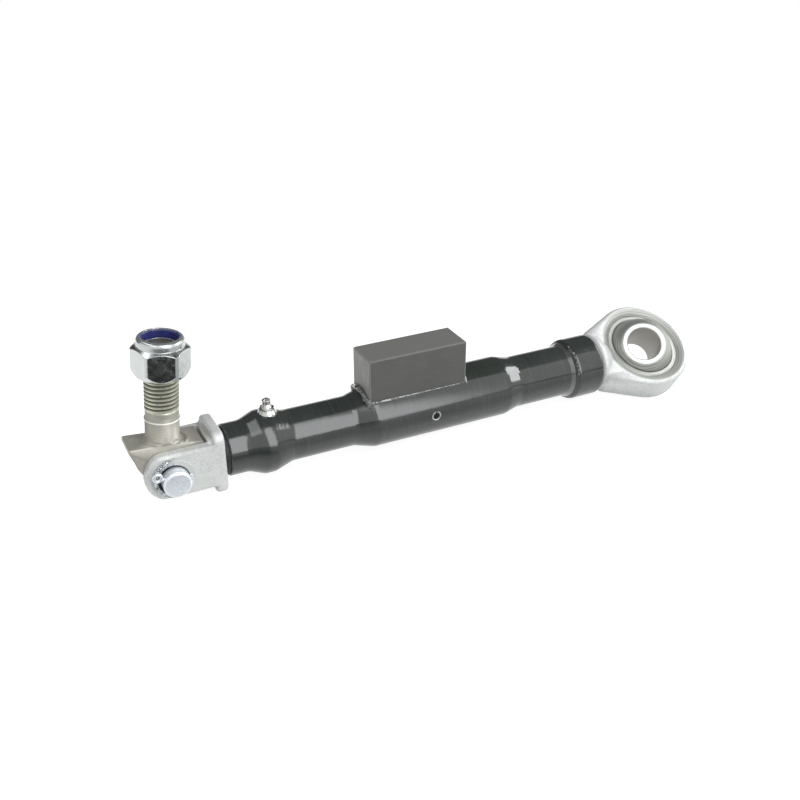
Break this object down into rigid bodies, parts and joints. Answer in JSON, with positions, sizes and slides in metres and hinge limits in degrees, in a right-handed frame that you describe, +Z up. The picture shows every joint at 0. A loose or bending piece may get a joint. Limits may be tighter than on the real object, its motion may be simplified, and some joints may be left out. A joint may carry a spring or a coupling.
{
  "type": "tractor lower link stabilizer",
  "caption": "Turnbuckle stabilizer bar: a swaged barrel with a welded weight block, a forked end with a swivel stud and lock nut, and a forged eye with a swivel ball.",
  "frame": {"origin": "centre of the swivel ball in the eye", "axes": "+X from the forked end along the barrel to the eye, +Z up towards the weight block, -Y towards the split pin"},
  "size_m": [0.4833, 0.0804, 0.1303],
  "materials": {
    "barrel_paint": "satin paint",
    "block_paint": "satin paint",
    "weld": "painted weld",
    "nipple_steel": "dull zinc",
    "spring_steel": "dark",
    "seal_rubber": "matt",
    "cast_plating": "bright zinc over forging scale",
    "bright_zinc": "bright zinc",
    "nickel_plating": "plated and turned",
    "blue_nylon": "moulded",
    "race_steel": "plated",
    "polished_steel": "polished"
  },
  "bodies": {
    "barrel": {"barrel_tube": "barrel_paint", "end_collar": "barrel_paint", "collar_weld": "weld", "weight_block": "block_paint", "block_weld": "weld", "grease_nipple": "nipple_steel", "nipple_ball": "polished_steel", "stop_pin": "spring_steel"},
    "fork_ring": {"left_seal": "seal_rubber"},
    "fork": {"yoke_fork": "cast_plating"},
    "stud": {"swivel_stud": "nickel_plating"},
    "nut_ring": {"nut_insert": "blue_nylon"},
    "nut": {"lock_nut": "bright_zinc"},
    "pin": {"clevis_pin": "bright_zinc", "pin_washer": "bright_zinc", "split_pin": "bright_zinc"},
    "eye_ring": {"right_seal": "seal_rubber"},
    "eye": {"ball_eye": "cast_plating"},
    "race": {"bearing_race": "race_steel"},
    "ball": {"ball": "polished_steel"}
  },
  "joints": [
    {"name": "fork_turn", "type": "hinge", "parent": "barrel", "child": "fork_ring", "pos_m": [-0.4155, 0, 0], "axis": [-1, 0, 0], "range_deg": [0, 6480]},
    {"name": "fork_travel", "type": "slide", "parent": "fork_ring", "child": "fork", "axis": [-1, 0, 0], "range_m": [0, 0.0541]},
    {"name": "eye_turn", "type": "hinge", "parent": "barrel", "child": "eye_ring", "pos_m": [0, 0, 0], "axis": [-1, 0, 0], "range_deg": [0, 6480]},
    {"name": "eye_travel", "type": "slide", "parent": "eye_ring", "child": "eye", "axis": [1, 0, 0], "range_m": [0, 0.0541]},
    {"name": "stud_swivel", "type": "hinge", "parent": "fork", "child": "stud", "pos_m": [-0.4155, 0, 0], "axis": [0, -1, 0], "range_deg": [0, 180]},
    {"name": "nut_travel", "type": "slide", "parent": "stud", "child": "nut_ring", "axis": [0.0906, 0, 0.9959], "range_m": [-0.0241, 0.0121]},
    {"name": "nut_turn", "type": "hinge", "parent": "nut_ring", "child": "nut", "pos_m": [-0.41138, 0, 0.07172], "axis": [0.0906, 0, 0.9959], "range_deg": [-2880, 1440]},
    {"name": "pin_spin", "type": "hinge", "parent": "fork", "child": "pin", "pos_m": [-0.4155, 0, 0], "axis": [0, -1, 0], "continuous": true},
    {"name": "ball_swing", "type": "hinge", "parent": "eye", "child": "race", "pos_m": [0, 0, 0], "axis": [0, -0.512, 0.859], "continuous": true},
    {"name": "ball_tilt", "type": "hinge", "parent": "race", "child": "ball", "pos_m": [0, 0, 0], "axis": [0.5821, -0.6984, -0.4163], "range_deg": [-45.3, 2.7]}
  ],
  "couplings": [
    {"joint": "fork_travel", "follows": "fork_turn", "m_per_rad": 0.00047746},
    {"joint": "eye_travel", "follows": "eye_turn", "m_per_rad": 0.00047746},
    {"joint": "nut_travel", "follows": "nut_turn", "m_per_rad": 0.00047746}
  ]
}
